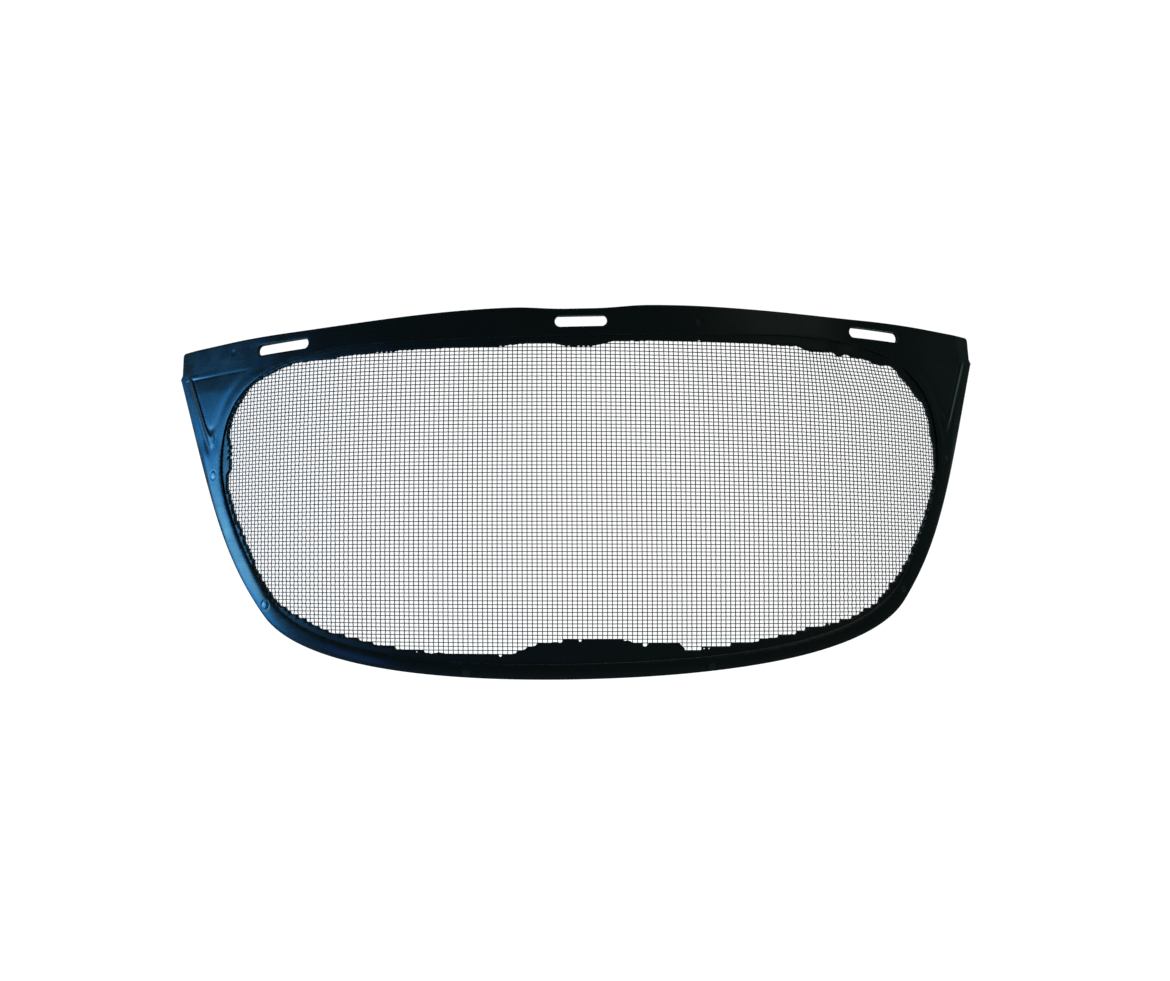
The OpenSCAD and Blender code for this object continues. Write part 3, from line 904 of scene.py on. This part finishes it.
def drawn_wire(name):
    """Dull grey drawn steel wire, with streaks along it and darker dirt in patches."""
    n = Nodes(name)
    patch = n.range(n.noise(70, 4), 0, 1)
    colour = n.mix(patch, *WIRE_TONES)
    speck = n.range(n.noise(1500, 3), 0, 0.55, 0.5, 0.75)
    n.feed(n.shader.inputs["Base Color"], n.mix(speck, colour, DIRT_TONE))
    n.feed(n.shader.inputs["Roughness"], n.range(n.noise(900, 3), 0.32, 0.55))
    n.feed(n.shader.inputs["Normal"], n.bump(n.noise(3500, 2), 0.3, 0.00001))
    n.shader.inputs["Metallic"].default_value = 1.0
    return n.material


def pale_floor(name):
    """Pale grey floor that looks white to the camera, as in the photo."""
    n = Nodes(name)
    n.feed(n.shader.inputs["Base Color"], n.mix(n.noise(3), (0.42, 0.42, 0.42, 1), (0.46, 0.46, 0.46, 1)))
    n.feed(n.shader.inputs["Roughness"], n.range(n.noise(5), 0.7, 0.9))
    n.shader.inputs["Emission Color"].default_value = (1, 1, 1, 1)
    n.feed(n.shader.inputs["Emission Strength"], n.add("ShaderNodeLightPath").outputs["Is Camera Ray"])
    return n.material


# ---------------------------------------------------------------- the object

plastic = moulded_plastic("frame_plastic", FRAME_TONES, FRAME_ROUGHNESS, PLASTIC_IOR)
lip_plastic = moulded_plastic("lip_plastic", LIP_TONES, LIP_ROUGHNESS, PLASTIC_IOR)
# The rivets' plastic takes lighter tones than the frame's: painted light on the domes
rivet_plastic = moulded_plastic("rivet_plastic", RIVET_PAINTED_LIGHT_TONES, RIVET_ROUGHNESS, RIVET_IOR)
steel = drawn_wire("steel_wire")

front = shell("front_frame_visual", WINDOW, FRONT_N, 0, front_face, front_back, plastic)
place(front, "frame_plastic", "front_frame")
REAR_RIM = grown(WINDOW, -REAR_RIM_IN)
rear = shell("rear_frame_visual", REAR_RIM, PARTING_N, REAR_SLOT_GAP, rear_front, rear_back, plastic)
place(rear, "frame_plastic", "rear_frame")
place(lip("rear_frame_lip", lip_plastic), "frame_plastic", "rear_frame")

for number, part in enumerate(in_parts(wire_lines(True), 3)):
    place(tubes(f"upright_wires_{number + 1}", part, steel), "steel_wire", "wire_mesh")
for number, part in enumerate(in_parts(wire_lines(False), 3)):
    place(tubes(f"level_wires_{number + 1}", part, steel), "steel_wire", "wire_mesh")

for rivet_name in RIVETS:
    place(rivet(rivet_name, rivet_plastic), "rivet_plastic", rivet_name)


# ---------------------------------------------------------------- floor, light and camera

# Metres and watts. Each light is a name, a place, the point it faces, its size, its power and its colour.
LIGHTS = [
    ("blue_side", (-0.8, -0.02, -0.095), (-0.15, -0.02, -0.095), (0.36, 0.31), 3.2, (0.015, 0.33, 0.98)),
    ("pale_side", (-0.79, -0.02, -0.07), (-0.15, -0.02, -0.08), (0.3, 0.12), 0.5, (0.52, 1.0, 0.6)),
    ("blue_front", (-0.6, -0.5, -0.22), (-0.1, 0.01, -0.135), (0.25, 0.15), 0.2, (0.04, 0.26, 1.0)),
    ("faint_right", (0.6, -0.65, 0.28), (0.1, 0.02, 0), (0.5, 0.4), 0.13, (0.9, 1.0, 0.8)),
    ("soft_top", (0.25, 0.1, 1.1), (0, 0.02, -0.07), (1.0, 0.8), 3, (1.0, 0.98, 0.94)),
]
FLOOR_DROP, FLOOR_HALF = 0.18, 4.0
# Strength of the surroundings as a backdrop, in front of the object and behind it, then the directions
# between which the last two change over, and their tint
BACKDROP, FRONT_SKY, REAR_SKY = 1.05, 0.08, 0.8
SKY_BAND, SKY_TINT = (0.3, 0.95), (0.6, 1.0, 0.95, 1)
# Camera: place, then pitch, roll and yaw in degrees, and lens and sensor in millimetres
CAMERA_AT, CAMERA_TURN = (-0.0103, -0.4422, -0.1062), (4.77, -1.44, -1.33)
CAMERA_LENS, SENSOR_WIDTH, CLIP_RANGE = 33.88, 36.0, (0.01, 50.0)


def area_light(name, at, towards, size, power, colour):
    data = bpy.data.lights.new(name, "AREA")
    data.shape, data.size, data.size_y = "RECTANGLE", size[0], size[1]
    data.energy, data.color = power, colour
    light = bpy.data.objects.new(name, data)
    light.location = at
    light.rotation_euler = (Vector(towards) - Vector(at)).to_track_quat("-Z", "Y").to_euler()
    bpy.context.scene.collection.objects.link(light)


def stage():
    """A plain pale floor below the object."""
    floor_z, half = cad_box[0].z - FLOOR_DROP, FLOOR_HALF
    flat = [(-half, -half), (half, -half), (half, half), (-half, half)]
    corners = np.array([[x, y, floor_z] for x, y in flat])
    floor = make_mesh("floor", corners / MM, [np.array([[0, 1, 2, 3]])], pale_floor("pale_floor"))


def daylight():
    """Soft studio surroundings: brighter behind the object than in front of it, white as a backdrop."""
    world = bpy.data.worlds.new("studio")
    bpy.context.scene.world = world
    world.use_nodes = True
    tree = world.node_tree
    background = tree.nodes["Background"]
    direction = tree.nodes.new("ShaderNodeTexCoord").outputs["Generated"]
    split = tree.nodes.new("ShaderNodeSeparateXYZ")
    tree.links.new(direction, split.inputs[0])
    spread = tree.nodes.new("ShaderNodeMapRange")
    tree.links.new(split.outputs["Y"], spread.inputs["Value"])
    for key, number in zip(("From Min", "From Max", "To Min", "To Max"), (*SKY_BAND, FRONT_SKY, REAR_SKY)):
        spread.inputs[key].default_value = number
    seen = tree.nodes.new("ShaderNodeLightPath").outputs["Is Camera Ray"]
    strength = tree.nodes.new("ShaderNodeMix")
    tree.links.new(seen, strength.inputs["Factor"])
    tree.links.new(spread.outputs["Result"], strength.inputs["A"])
    strength.inputs["B"].default_value = BACKDROP
    tree.links.new(strength.outputs["Result"], background.inputs["Strength"])
    tone = tree.nodes.new("ShaderNodeMix")
    tone.data_type = "RGBA"
    tree.links.new(seen, tone.inputs["Factor"])
    tone.inputs["A"].default_value = SKY_TINT
    tone.inputs["B"].default_value = (1, 1, 1, 1)
    tree.links.new(tone.outputs["Result"], background.inputs["Color"])


def camera():
    """A close view from a little left of the middle, low down and looking slightly up."""
    pitch, roll, yaw = (math.radians(angle) for angle in CAMERA_TURN)
    about_z = np.array([[math.cos(yaw), math.sin(yaw), 0], [-math.sin(yaw), math.cos(yaw), 0], [0, 0, 1]])
    about_x = np.array([[1, 0, 0], [0, math.cos(pitch), math.sin(pitch)],
                        [0, -math.sin(pitch), math.cos(pitch)]])
    about_y = np.array([[math.cos(roll), 0, math.sin(roll)], [0, 1, 0],
                        [-math.sin(roll), 0, math.cos(roll)]])
    right, forward, up = about_y @ about_x @ about_z
    data = bpy.data.cameras.new("camera")
    data.sensor_width, data.lens = SENSOR_WIDTH, CAMERA_LENS
    data.clip_start, data.clip_end = CLIP_RANGE
    view = bpy.data.objects.new("camera", data)
    turned = Matrix(np.stack([right, up, -forward], 1).tolist()).to_4x4()
    view.matrix_world = Matrix.Translation(CAMERA_AT) @ turned
    bpy.context.scene.collection.objects.link(view)
    bpy.context.scene.camera = view


stage()
daylight()
camera()
for light in LIGHTS:
    area_light(*light)
bpy.context.scene.view_settings.view_transform = "Standard"
